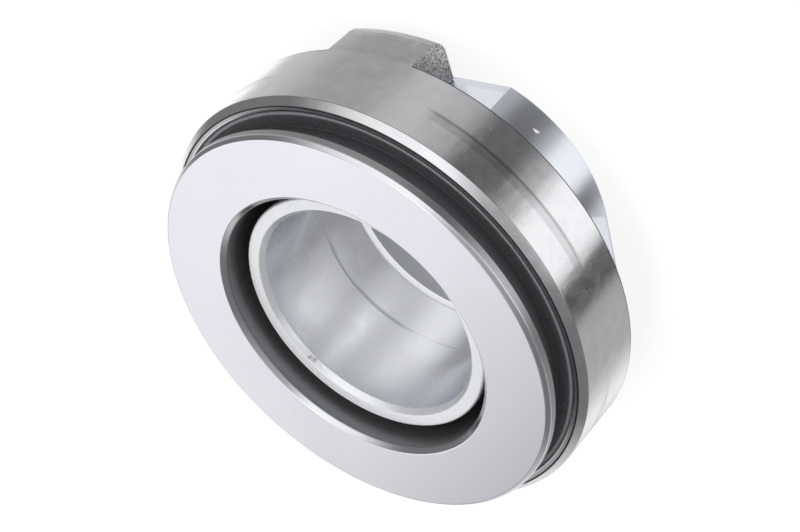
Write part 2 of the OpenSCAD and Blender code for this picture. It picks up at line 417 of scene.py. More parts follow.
@dataclass(frozen=True, kw_only=True)
class TurnedIron(TurnedMetal):
    """Iron casting, turned satin all round, with its lugs' sides left as they came out of the sand.

    A line's pair is half its width and half of what it fades over, and the step's reach has its middle first. The
    pairs beside and on the lugs say where a mask starts and is full, as offsets. Millimetres.
    """

    CLUSTER_RANGE = {"From Min": 0.42, "From Max": 0.62}
    SAND_RANGE = {"From Min": 0.36, "From Max": 0.64}
    LAND = (0.08, 0.03)
    LIP = (0.17, 0.05)
    REAR = (0.26, 0.06)
    SHADE_LINE = (0.17, 0.06)
    BESIDE = (0.1, 0.4)
    STEP_REACH = (30.5, 12.5, 1.6)
    STEP_UP, STEP, STEP_SHARE = 0.7, (1.15, 0.25), 0.22
    CORNER, CORNER_SHARE = (0.25, 0.25), 0.3
    TIP_H, TIP_SHARE = 1.4, 0.6
    LUG, LUG_SHARE = (0.7, -0.3), 0.13

    pit_mm: float
    pit_share: float
    pit_depth: float
    cluster_mm: float
    land_colour: str
    land_roughness: float
    shade_colour: str
    shade_roughness: float
    lip_highlight_colour: str
    cast_colour: str
    cast_dark: str
    cast_roughness: float
    cast_grain_mm: float
    cast_depth: float

    def local(self, tree: Tree, place: TurnedPlace, surface: Surface) -> Surface:
        """Adds the iron's pores, the front land with a painted highlight on its lip, painted shade along its edges, in
        the step and on the lugs, and the lugs' sand-cast sides.
        """
        housing = Housing()
        colour, roughness, relief = surface
        gap = add(tree, "TexVoronoi", {"Vector": place.point, "Scale": 1 / self.pit_mm})
        pits = add(tree, "MapRange", {"Value": gap, "From Max": self.pit_share, "To Min": 1.0, "To Max": 0.0},
                   interpolation_type="SMOOTHSTEP")
        cluster = add(tree, "TexNoise", {"Vector": place.point, "Scale": 1 / self.cluster_mm})
        depth = add(tree, "MapRange", {"Value": cluster, **self.CLUSTER_RANGE, "To Max": -self.pit_depth})
        relief = add(tree, "Math", {0: pits, 1: depth, 2: relief}, operation="MULTIPLY_ADD")
        land = band(tree, place.height, housing.land_z, *self.LAND)
        surface = blend(tree, [land], (colour, roughness, relief),
                        (linear(self.land_colour), self.land_roughness, relief))
        # Painted highlight: the land's lip is drawn lighter, with the turned face's roughness
        lip = band(tree, place.radius, housing.lip_r, *self.LIP)
        surface = blend(tree, [land, lip], surface, (linear(self.lip_highlight_colour), roughness, relief))
        aside = add(tree, "Math", {0: place.side}, operation="ABSOLUTE")
        # Painted shade: a dark line along the rear edge, left off the lugs, and another round the front between the
        # chamfer and the land
        beside = add(tree, "MapRange", {"Value": aside, "From Min": housing.lug_half + self.BESIDE[0],
                                        "From Max": housing.lug_half + self.BESIDE[1]})
        rear = band(tree, place.height, housing.rear_z, *self.REAR)
        rear = add(tree, "Math", {0: beside, 1: rear}, operation="MULTIPLY")
        shade_lines = band(tree, place.radius, housing.shade_line_r, *self.SHADE_LINE)
        shade_lines = add(tree, "Math", {0: rear, 1: shade_lines}, operation="MAXIMUM")
        surface = blend(tree, [shade_lines], surface, (linear(self.shade_colour), self.shade_roughness, relief))
        # Painted shade in the step, most of it in its corner, and on the lugs, most of it on the rounding of their ends
        thin = band(tree, place.height, housing.step_z + self.STEP_UP, *self.STEP)
        thin = add(tree, "Math", {0: thin, 1: self.STEP_SHARE}, operation="MULTIPLY")
        thick = band(tree, place.height, housing.step_z, *self.CORNER)
        thick = add(tree, "Math", {0: thick, 1: self.CORNER_SHARE, 2: thin}, operation="MULTIPLY_ADD")
        reach = band(tree, aside, *self.STEP_REACH)
        painted_shade = add(tree, "Math", {0: thick, 1: reach}, operation="MULTIPLY")
        for start, full, share in (
                (housing.tip_z + self.TIP_H, housing.tip_z, self.TIP_SHARE),
                (housing.rear_z + self.LUG[0], housing.rear_z + self.LUG[1], self.LUG_SHARE)):
            lug = add(tree, "MapRange", {"Value": place.height, "From Min": start, "From Max": full, "To Max": share})
            painted_shade = add(tree, "Math", {0: painted_shade, 1: lug}, operation="MAXIMUM")
        surface = blend(tree, [painted_shade], surface, (linear(self.shade_colour), roughness, relief))
        mask = add(tree, "Attribute", attribute_name=Housing.CAST_MARK).outputs["Fac"]
        sand = add(tree, "TexNoise", {"Vector": place.point, "Scale": 1 / self.cast_grain_mm, "Detail": 3.0,
                                      "Roughness": 0.65})
        depth = add(tree, "Math", {0: sand, 1: self.cast_depth}, operation="MULTIPLY")
        share = add(tree, "MapRange", {"Value": sand, **self.SAND_RANGE})
        skin = add(tree, "Mix", {"Factor": share, "A": linear(self.cast_dark), "B": linear(self.cast_colour)},
                   data_type="RGBA")
        return blend(tree, [mask], surface, (skin, self.cast_roughness, depth))


@dataclass(frozen=True, kw_only=True)
class GroundSteel(TurnedMetal):
    """Hardened steel ring with a ground contact face, a turned rim and an oiled bore.

    The corner's pair is half its width and half of what it fades over, and the bore's pair says where the oil's mask
    starts and is full, as offsets. Millimetres.
    """

    FACE_EDGE = 0.02
    FADE = 0.1
    RIM_FADE = 1.0
    CORNER = (0.12, 0.05)
    BORE = (0.25, 0.05)

    chamfer_colour: str
    chamfer_roughness: float
    corner_highlight_colour: str
    rim_colour: str
    rim_roughness: float
    rim_line_mm: float
    rim_line_depth: float
    oil_colour: str
    oil_roughness: float
    oil_metallic: float

    def local(self, tree: Tree, place: TurnedPlace, surface: Surface) -> Surface:
        """Adds the chamfers, the duller rim with a painted highlight along its top corner, and the dark film of oil in
        the bore.
        """
        ring = ContactRing()
        _, roughness, relief = surface
        rim_top = ring.face_z - ring.face_chamfer
        chamfer, low = (add(tree, "MapRange", {"Value": place.height, "From Min": top, "From Max": top - self.FADE})
                        for top in (ring.face_z - self.FACE_EDGE, rim_top))
        surface = blend(tree, [chamfer], surface, (linear(self.chamfer_colour), self.chamfer_roughness, relief))
        outer = add(tree, "MapRange", {"Value": place.radius, "From Min": ring.neck_r,
                                       "From Max": ring.neck_r + self.RIM_FADE})
        lines = add(tree, "TexNoise", {"W": place.along, "Scale": 1 / self.rim_line_mm, "Detail": 3.0},
                    noise_dimensions="1D")
        depth = add(tree, "Math", {0: lines, 1: self.rim_line_depth}, operation="MULTIPLY")
        surface = blend(tree, [low, outer], surface, (linear(self.rim_colour), self.rim_roughness, depth))
        # Painted highlight: a lighter line along the rim's top corner
        corner = band(tree, place.height, rim_top, *self.CORNER)
        surface = blend(tree, [corner, outer], surface, (linear(self.corner_highlight_colour), roughness, relief))
        return blend(tree, [self.bore(tree, place)], surface, (linear(self.oil_colour), self.oil_roughness, relief))

    def bore(self, tree: Tree, place: TurnedPlace) -> Node:
        """Adds a mask of the bore."""
        start, full = (ContactRing().bore_r + offset for offset in self.BORE)
        return add(tree, "MapRange", {"Value": place.radius, "From Min": start, "From Max": full})

    def film(self, tree: Tree, place: TurnedPlace) -> Inputs:
        """Adds the oil in the bore, which scatters a little light."""
        oil = add(tree, "Mix", {"Factor": self.bore(tree, place), "A": self.METALLIC, "B": self.oil_metallic},
                  data_type="FLOAT")
        return super().film(tree, place) | {"Metallic": oil}


@dataclass(frozen=True, kw_only=True)
class MouldedBlack(Finish):
    """Moulded rubber or plastic: a dark, even skin with a faint flow and a little dust."""

    FLOW_RANGE = {"From Min": 0.3, "From Max": 0.7}
    DUST_RANGE = {"From Min": 0.55, "From Max": 0.8}
    ROUGHNESS_SWING = 0.06

    pale_colour: str
    grain_mm: float
    grain_depth: float
    dust_mm: float
    dust_share: float

    def surface(self, tree: Tree, place: TurnedPlace) -> Surface:
        """Adds the moulded skin."""
        grain = add(tree, "TexNoise", {"Vector": place.point, "Scale": 1 / self.grain_mm, "Detail": 2.0})
        colour = add(tree, "Mix", {"Factor": self.dust(tree, place), "A": linear(self.colour),
                                   "B": linear(self.pale_colour)}, data_type="RGBA")
        roughness = add(tree, "MapRange", {"Value": grain, **self.FLOW_RANGE,
                                           "To Min": self.roughness - self.ROUGHNESS_SWING,
                                           "To Max": self.roughness + self.ROUGHNESS_SWING})
        return colour, roughness, add(tree, "Math", {0: grain, 1: self.grain_depth}, operation="MULTIPLY")

    def dust(self, tree: Tree, place: TurnedPlace) -> Node:
        """Adds a mask of how much of the skin the dust covers."""
        specks = add(tree, "TexNoise", {"Vector": place.point, "Scale": 1 / self.dust_mm, "Detail": 4.0})
        return add(tree, "MapRange", {"Value": specks, **self.DUST_RANGE, "To Max": self.dust_share})


@dataclass(frozen=True, kw_only=True)
class SealRubber(MouldedBlack):
    """Black rubber with dust specks, painted paler towards the corner by the housing's land, as painted light where the
    gap's shade thins.
    """

    def dust(self, tree: Tree, place: TurnedPlace) -> Node:
        """Adds the dust specks, and a painted lightening that grows from the lip out to the seat as the gap's shade
        thins.
        """
        # Painted light: the rubber grows paler from the lip out to the seat, where less of the gap's shade falls
        thick = add(tree, "MapRange", {"Value": place.radius, "From Min": FrontSeal().crease_r,
                                       "From Max": FrontSeal().seat_r})
        return add(tree, "Math", {0: super().dust(tree, place), 1: thick}, operation="ADD", use_clamp=True)


FINISHES: dict[Slot, Finish] = {
    # Zinc over fine turning: pale and faintly cool, half a mirror all over and milky at the tube's front end
    Slot.PLATED_STEEL: PlatedSteel(
        "zinc_plated_turned_steel", "#d8dade", 0.25, lay=Lay.WALL, mark_colour="#d0d3d8", line_mm=0.6,
        line_depth=0.12, grain_mm=1.3, grain_depth=4.0, cloud_mm=5.0, roughness_swing=0.06, flange_colour="#cdd1d8",
        flange_roughness=0.22, skin_colour="#f4f6f9", lead_metallic=0.45, face_metallic=0.2, mark_band_colour="#aeb2b8",
        mark_band_way=(-0.79, -0.61, 0.0), swirl_mm=0.5, swirl_width=0.8, nicks=(
            Nick((-17.17, -15.46, 29.7), 0.7, 12.0, "#bcbec5"),
            Nick((-16.3, -16.1, 29.5), 0.65, 12.0, "#bcbec5"),
            Nick((-14.72, -17.54, 29.5), 0.6, 30.0, WHITE),
            Nick((4.29, -22.09, 18.8), 0.25, 30.0, WHITE),
            Nick((27.5, 29.7, 4.45), 0.42, 120.0, WHITE),
            Nick((27.9, 29.3, 4.35), 0.5, 150.0, WHITE))),
    # Iron turned satin: sharp streaks of light along the axis, which break into a fine sparkle where they end.
    # Its pores are a tenth of a millimetre wide and are drawn three to four times coarser, so that they show
    Slot.TURNED_IRON: TurnedIron(
        "turned_cast_iron", "#d8d8da", 0.18, lay=Lay.WALL, mark_colour="#cbcbcf", line_mm=0.5, line_depth=0.08,
        grain_mm=1.6, grain_depth=4.5, cloud_mm=2.6, roughness_swing=0.05, anisotropy=0.5, pit_mm=0.65,
        pit_share=0.26, pit_depth=19.0, cluster_mm=4.0, land_colour="#c2c3c5", land_roughness=0.34,
        shade_colour="#4a4a4d", shade_roughness=0.5, lip_highlight_colour="#d0d0d3", cast_colour="#d0d0d0", cast_dark="#505053",
        cast_roughness=0.38, cast_grain_mm=0.35, cast_depth=90.0),
    # Fine ground steel: nearly white, with a faint cool tint and no marks that the eye can part
    Slot.GROUND_STEEL: GroundSteel(
        "fine_ground_steel", "#eeedf5", 0.26, mark_colour="#eae9f1", line_mm=0.5, line_depth=0.15, grain_mm=0.8,
        grain_depth=0.25, cloud_mm=14.0, roughness_swing=0.03, chamfer_colour="#ced0d3", chamfer_roughness=0.17,
        corner_highlight_colour="#f0f0f2", rim_colour="#a9aaad", rim_roughness=0.38, rim_line_mm=1.0, rim_line_depth=4.0,
        oil_colour="#8f9092", oil_roughness=0.36, oil_metallic=0.78),
    # Nitrile rubber out of a polished mould: black and half gloss, greyed by dust, and painted paler towards its seat
    # as painted light
    Slot.SEAL_RUBBER: SealRubber(
        "moulded_nitrile_rubber", "#606266", 0.3, pale_colour="#989a9e", grain_mm=3.0, grain_depth=2.0, dust_mm=0.9,
        dust_share=0.06),
    # Glass-filled polyamide as moulded: dull brown, with the fibres just under the skin
    Slot.CAGE_POLYAMIDE: MouldedBlack(
        "moulded_glass_filled_polyamide", "#5f4c3b", 0.5, pale_colour="#8d7a66", grain_mm=0.5, grain_depth=10.0,
        dust_mm=0.4, dust_share=0.5),
    # Hardened and lapped bearing steel: a clean mirror
    Slot.BEARING_STEEL: TurnedMetal(
        "lapped_bearing_steel", "#d2d4d9", 0.09, mark_colour="#c4c6cc", line_mm=0.5, line_depth=0.3, grain_mm=1.0,
        grain_depth=0.5, cloud_mm=5.0, roughness_swing=0.02),
    # Spring steel with an oiled phosphate coat: dark, fine-grained and dull
    Slot.SPRING_STEEL: TurnedMetal(
        "oiled_phosphated_spring_steel", "#6b6d71", 0.42, mark_colour="#4e5054", line_mm=0.8, line_depth=0.5,
        grain_mm=0.4, grain_depth=8.0, cloud_mm=4.0, roughness_swing=0.07),
}


def rounded(outline: Outline, radius: float, steps: int = 3, land: float = 0.04, straight: float = 160.0) -> Outline:
    """Rounds the corners of a closed outline and puts a short land on both sides of each.

    Args:
        outline: Corners in millimetres, as distance from the axis and height.
        radius: How far from its corner a rounding starts.
        steps: Segments of a rounding.
        land: Length of the flat beside it, which keeps the faces' shading flat.
        straight: The angle in degrees from which a corner is left as it is.

    Returns:
        The outline with its corners rounded.
    """
    points: Outline = []
    count = len(outline)
    for i, corner in enumerate(outline):
        here = Vector(corner)
        sides = [Vector(outline[i - 1]) - here, Vector(outline[(i + 1) % count]) - here]
        reach = min(radius, *(side.length / 2 - 2 * land for side in sides))
        bend = sides[0].angle(sides[1])
        if reach <= 0 or bend > math.radians(straight):
            points.append(corner)
            continue
        start, end = (here + side.normalized() * reach for side in sides)
        points.append(tuple(start + sides[0].normalized() * land))
        for step in range(steps + 1):
            t = step / steps
            points.append(tuple((1 - t) ** 2 * start + 2 * t * (1 - t) * here + t * t * end))
        points.append(tuple(end + sides[1].normalized() * land))
    return points


def arc(centre: Pair, radius: float, start: float, end: float, steps: int) -> Outline:
    """Gives the points of an arc.

    Args:
        centre: Its centre.
        radius: Its radius.
        start: Its first angle, in degrees.
        end: Its last angle.
        steps: The number of segments.

    Returns:
        The points, both ends included.
    """
    angles = [math.radians(start + (end - start) * i / steps) for i in range(steps + 1)]
    return [(centre[0] + radius * math.cos(a), centre[1] + radius * math.sin(a)) for a in angles]


def new_object(name: str, data: bpy.types.ID) -> Thing:
    """Makes an object and puts it into the scene.

    Args:
        name: Its name.
        data: Its mesh, light or camera.

    Returns:
        The object.
    """
    thing = bpy.data.objects.new(name, data)
    bpy.context.scene.collection.objects.link(thing)
    return thing


def make_plain(piece: Thing) -> None:
    """Turns a piece with modifiers into a plain mesh.

    Args:
        piece: The piece.
    """
    graph = bpy.context.evaluated_depsgraph_get()
    plain = bpy.data.meshes.new_from_object(piece.evaluated_get(graph), preserve_all_data_layers=True, depsgraph=graph)
    piece.modifiers.clear()
    piece.data = plain
    plain.name = piece.name


class Lathe:
    """A Geometry Nodes tree that turns an outline round the axis."""

    SEGMENTS = 288
    MERGE = 0.5 * MICRON

    def __init__(self) -> None:
        """Builds the tree: the outline becomes a curve and is swept round a circle."""
        tree = bpy.data.node_groups.new("lathe", "GeometryNodeTree")
        sockets = {"Outline": "Geometry", "Segments": "Int", "Path radius": "Float", "Finish": "Material"}
        for name, kind in sockets.items():
            tree.interface.new_socket(name, in_out="INPUT", socket_type=f"NodeSocket{kind}")
        tree.interface.new_socket("Turning", in_out="OUTPUT", socket_type="NodeSocketGeometry")
        given = add(tree, "NodeGroupInput").outputs
        path = add(tree, "CurvePrimitiveCircle", {"Resolution": given["Segments"], "Radius": given["Path radius"]})
        outline = add(tree, "MeshToCurve", {"Mesh": given["Outline"]})
        sweep = add(tree, "CurveToMesh", {"Curve": path, "Profile Curve": outline})
        smooth = add(tree, "SetShadeSmooth", {"Geometry": sweep})
        real = add(tree, "RealizeInstances", {"Geometry": smooth})
        finish = add(tree, "SetMaterial", {"Geometry": real, "Material": given["Finish"]})
        add(tree, "NodeGroupOutput", {"Turning": finish})
        self.tree = tree
        self.keys = {item.name: item.identifier for item in tree.interface.items_tree if item.in_out == "INPUT"}

    def turn(self, name: str, outline: Outline, material: Material) -> Thing:
        """Turns one closed outline.

        Args:
            name: The piece's name.
            outline: Its section in millimetres, as distance from the axis and height.
            material: Its material.

        Returns:
            A plain mesh object, closed and with its faces outwards.
        """
        path = min(r for r, _ in outline)
        edges = [(i, (i + 1) % len(outline)) for i in range(len(outline))]
        section = bpy.data.meshes.new(f"{name}_section")
        # A swept outline lies with its X outwards and its Y down
        section.from_pydata([((r - path) * MM, -z * MM, 0.0) for r, z in outline], edges, [])
        piece = new_object(name, section)
        lathe = piece.modifiers.new("lathe", "NODES")
        lathe.node_group = self.tree
        for key, value in {"Segments": self.SEGMENTS, "Path radius": path * MM, "Finish": material}.items():
            lathe[self.keys[key]] = value
        make_plain(piece)
        work = bmesh.new()
        work.from_mesh(piece.data)
        bmesh.ops.remove_doubles(work, verts=work.verts, dist=self.MERGE)
        bmesh.ops.recalc_face_normals(work, faces=work.faces)
        work.to_mesh(piece.data)
        work.free()
        return piece


@dataclass(frozen=True)
class Score:
    """A fine V that a tool left round a turned wall. Millimetres; a positive depth goes towards the axis."""

    LUG_END, LUG_FADE = 0.3, 0.25
    SIDE_END, SIDE_FADE = 0.965, 0.035
    NEAR_WALL = 0.05
    CUT_GAP = 0.1 * MICRON

    radius: float
    height: float
    front: float
    rear: float
    depth: float
    runs_out: bool = False

    def share(self, place: Vector) -> float:
        """Gives the share of the depth at a place: a mark that runs out fades towards the lugs and the sides.

        Args:
            place: The place.

        Returns:
            The share, from 0 to 1.
        """
        aside = abs(place.x) / place.xy.length
        t = min((aside - self.LUG_END) / self.LUG_FADE, (self.SIDE_END - aside) / self.SIDE_FADE)
        t = min(max(t, 0.0), 1.0)
        return t * t * (3 - 2 * t) if self.runs_out else 1.0

    def cut(self, work: bmesh.types.BMesh) -> None:
        """Cuts the V into a mesh and keeps its edges crisp.

        Args:
            work: The mesh, in metres.
        """
        levels = [(self.height + offset) * MM for offset in (-self.rear, 0.0, self.front)]
        for level in levels:
            everything = [*work.verts, *work.edges, *work.faces]
            bmesh.ops.bisect_plane(work, geom=everything, dist=self.CUT_GAP, plane_no=(0, 0, 1), plane_co=(0, 0, level))
        wall = [v for v in work.verts if abs(v.co.xy.length - self.radius * MM) < self.NEAR_WALL * MM]
        rings = [{v for v in wall if abs(v.co.z - level) < MICRON} for level in levels]
        for edge in work.edges:
            edge.smooth = edge.smooth and not any(ring.issuperset(edge.verts) for ring in rings)
        for vert in rings[1]:
            vert.co.xy *= 1 - self.share(vert.co) * self.depth * MM / vert.co.xy.length


@dataclass
class Piece:
    """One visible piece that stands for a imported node."""

    node: str
    name: str
    body: Body
    slot: Slot
    material: Material | None = field(default=None, repr=False)

    def build(self, lathe: Lathe) -> Thing:
        """Makes the piece's mesh."""
        raise NotImplementedError

    def place(self, piece: Thing) -> None:
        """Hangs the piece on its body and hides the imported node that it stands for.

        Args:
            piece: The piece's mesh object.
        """
        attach(piece, self.body.value)
        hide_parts(self.node)
        LOG.info("%s: %d faces, rides on %s", piece.name, len(piece.data.polygons), self.body.value)


@dataclass
class TurnedPiece(Piece):
    """A piece that is turned from its section."""

    edge: float = 0.3

    def outline(self) -> Outline:
        """Gives the piece's section, as distance from the axis and height."""
        raise NotImplementedError

    def build(self, lathe: Lathe) -> Thing:
        """Turns the piece."""
        return lathe.turn(self.name, self.outline(), self.material)


@dataclass
class CopiedPiece(Piece):
    """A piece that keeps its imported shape, apart from a tool's mark and its broken edges."""

    MERGE = 2 * MICRON
    FLAT = math.radians(0.4)
    SHARP = math.radians(25)

    edge: float = 0.14

    def broken(self, score: Score) -> Thing:
        """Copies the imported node, scores it and breaks its edges.

        Args:
            score: The mark that the tool left round the piece.

        Returns:
            A plain mesh object.
        """
        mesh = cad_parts[self.node].data.copy()
        work = bmesh.new()
        work.from_mesh(mesh)
        bmesh.ops.remove_doubles(work, verts=work.verts, dist=self.MERGE)
        bmesh.ops.dissolve_limit(work, angle_limit=self.FLAT, verts=work.verts, edges=work.edges)
        for edge in work.edges:
            edge.smooth = True
        score.cut(work)
        work.to_mesh(mesh)
        work.free()
        mesh.normals_split_custom_set([(0.0, 0.0, 0.0)] * len(mesh.loops))
        mesh.shade_smooth()
        piece = new_object(self.name, mesh)
        bevel = piece.modifiers.new("edge", "BEVEL")
        bevel.width, bevel.segments = self.edge * MM, 2
        bevel.limit_method, bevel.angle_limit = "ANGLE", self.SHARP
        bevel.use_clamp_overlap = False
        weigh = piece.modifiers.new("shading", "WEIGHTED_NORMAL")
        weigh.weight, weigh.keep_sharp = 100, True
        make_plain(piece)
        piece.data.materials.clear()
        piece.data.materials.append(self.material)
        return piece


@dataclass
class ContactRing(TurnedPiece):
    """The turning race, with the ground face that the clutch's fingers press on. Millimetres."""

    ROUNDING = 0.12
    GROOVE_STEPS, FILLET_STEPS = 24, 8

    node: str = "contact_ring"
    name: str = "thrust_ring"
    body: Body = Body.THRUST_RING
    slot: Slot = Slot.GROUND_STEEL
    bore_r: float = 28.2
    rim_r: float = 42.0
    neck_r: float = 33.4
    tail_r: float = 31.6
    tail_z: float = 18.2
    rim_z: float = 31.9
    face_z: float = 34.5
    face_chamfer: float = 0.7
    bore_chamfer: float = 0.95
    neck_fillet: float = 1.0
    pitch_r: float = 35.5955
    ball_z: float = 21.4
    groove_r: float = 4.3955

    def outline(self) -> Outline:
        """Gives the ring's section, with its ball groove."""
        low, high = (math.degrees(math.acos((r - self.pitch_r) / self.groove_r)) for r in (self.tail_r, self.neck_r))
        fillet = self.neck_fillet
        return rounded([
            (self.bore_r, self.tail_z),
            (self.tail_r - self.edge, self.tail_z),
            (self.tail_r, self.tail_z + self.edge),
            *arc((self.pitch_r, self.ball_z), self.groove_r, 360 - low, high, self.GROOVE_STEPS),
            *arc((self.neck_r + fillet, self.rim_z - fillet), fillet, 180, 90, self.FILLET_STEPS),
            (self.rim_r - self.edge, self.rim_z),
            (self.rim_r, self.rim_z + self.edge),
            (self.rim_r, self.face_z - self.face_chamfer),
            (self.rim_r - self.face_chamfer, self.face_z),
            (self.bore_r + self.bore_chamfer, self.face_z),
            (self.bore_r, self.face_z - self.bore_chamfer),
        ], self.ROUNDING)


@dataclass
class FrontSeal(TurnedPiece):
    """The rubber ring in the gap behind the contact ring's rim. Millimetres."""

    ROUNDING = 0.2
    BEAD_STEPS = 12

    node: str = "front_seal"
    name: str = "rubber_seal"
    body: Body = Body.BEARING_UNIT
    slot: Slot = Slot.SEAL_RUBBER
    seat_r: float = 42.491
    shoulder_r: float = 39.591
    crease_r: float = 38.991
    web_r: float = 33.9
    seat_z: float = 27.1
    rear_z: float = 25.6
    lip_z: float = 31.75
    lip_lean: float = 1.3
    lip_t: float = 0.7
    root_t: float = 1.6
    web_t: float = 0.8
    bead_r: float = 0.4

    def outline(self) -> Outline:
        """Gives the seal's section: seat with a round bead, lip and web."""
        return rounded([
            (self.shoulder_r, self.rear_z),
            (self.seat_r, self.rear_z),
            *arc((self.seat_r - self.bead_r, self.seat_z), self.bead_r, 0, 180, self.BEAD_STEPS),
            (self.crease_r, self.seat_z - self.edge),
            (self.crease_r + self.lip_lean, self.lip_z),
            (self.crease_r + self.lip_lean - self.lip_t, self.lip_z),
            (self.crease_r - self.root_t, self.seat_z),
            (self.web_r, self.seat_z),
            (self.web_r, self.seat_z - self.web_t),
            (self.shoulder_r - self.edge, self.seat_z - self.web_t),
        ], self.ROUNDING)


@dataclass
class Housing(CopiedPiece):
    """The turned ring round the bearing, with two lugs over the flange's flats. Millimetres."""

    CAST_MARK = "as_cast"
    SIDEWAYS = 0.6

    node: str = "housing"
    name: str = "lugged_housing"
    body: Body = Body.BEARING_UNIT
    slot: Slot = Slot.TURNED_IRON
    wall_r: float = 45.241
    rear_z: float = 11.4
    step_z: float = 19.0
    tip_z: float = 4.0
    land_z: float = 27.7
    lip_r: float = 42.95
    shade_line_r: float = 43.78
    lug_half: float = 9.2

    def build(self, lathe: Lathe) -> Thing:
        """Breaks the housing's edges and marks the lugs' cast sides."""
        piece = self.broken(Score(self.wall_r, self.step_z, front=1.4, rear=0.3, depth=0.03, runs_out=True))
        mark = piece.data.attributes.new(self.CAST_MARK, "FLOAT", "FACE")
        for face, value in zip(piece.data.polygons, mark.data):
            on_side = abs(face.normal.x) > self.SIDEWAYS and face.center.z < self.rear_z * MM
            value.value = 1.0 if on_side else 0.0
        return piece


@dataclass
class GuideSleeve(CopiedPiece):
    """The plated tube and flange, in one piece. Millimetres."""

    node: str = "guide_sleeve"
    name: str = "plated_guide_sleeve"
    body: Body = Body.GUIDE_HUB
    slot: Slot = Slot.PLATED_STEEL
    bore_r: float = 22.5
    tube_r: float = 26.0
    front_z: float = 30.2
    lead_h: float = 1.2
    stop_z: float = 10.9

    def build(self, lathe: Lathe) -> Thing:
        """Breaks the sleeve's edges and scores the line where two passes of the bore meet."""
        return self.broken(Score(self.bore_r, self.stop_z, front=0.35, rear=0.35, depth=-0.02))


@dataclass
class BearingInside:
    """The pieces that the housing and the seal hide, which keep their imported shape."""

    finishes: dict[str, Slot] = field(default_factory=lambda: {
        "outer_race": Slot.BEARING_STEEL,
        "ball_cage": Slot.CAGE_POLYAMIDE,
        "rear_shield": Slot.SPRING_STEEL,
        "disc_spring": Slot.SPRING_STEEL,
        "snap_ring": Slot.SPRING_STEEL,
    })

    def dress(self, materials: dict[Slot, Material]) -> None:
        """Gives each hidden piece its material.

        Args:
            materials: The material for each slot.
        """
        for name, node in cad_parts.items():
            slot = self.finishes.get(name, Slot.BEARING_STEEL if name.startswith("ball_") else None)
            if slot is not None:
                node.material_slots[0].material = materials[slot]
                LOG.info("%s: %s", name, slot.value)


@dataclass(frozen=True)
class LightPatch:
    """A soft patch of light, or of shade, in the studio round the part. Degrees."""

    name: str
    azimuth: float
    half_width: float
    side_soft: float
    low: float
    high: float
    edge_soft: float
    level: float


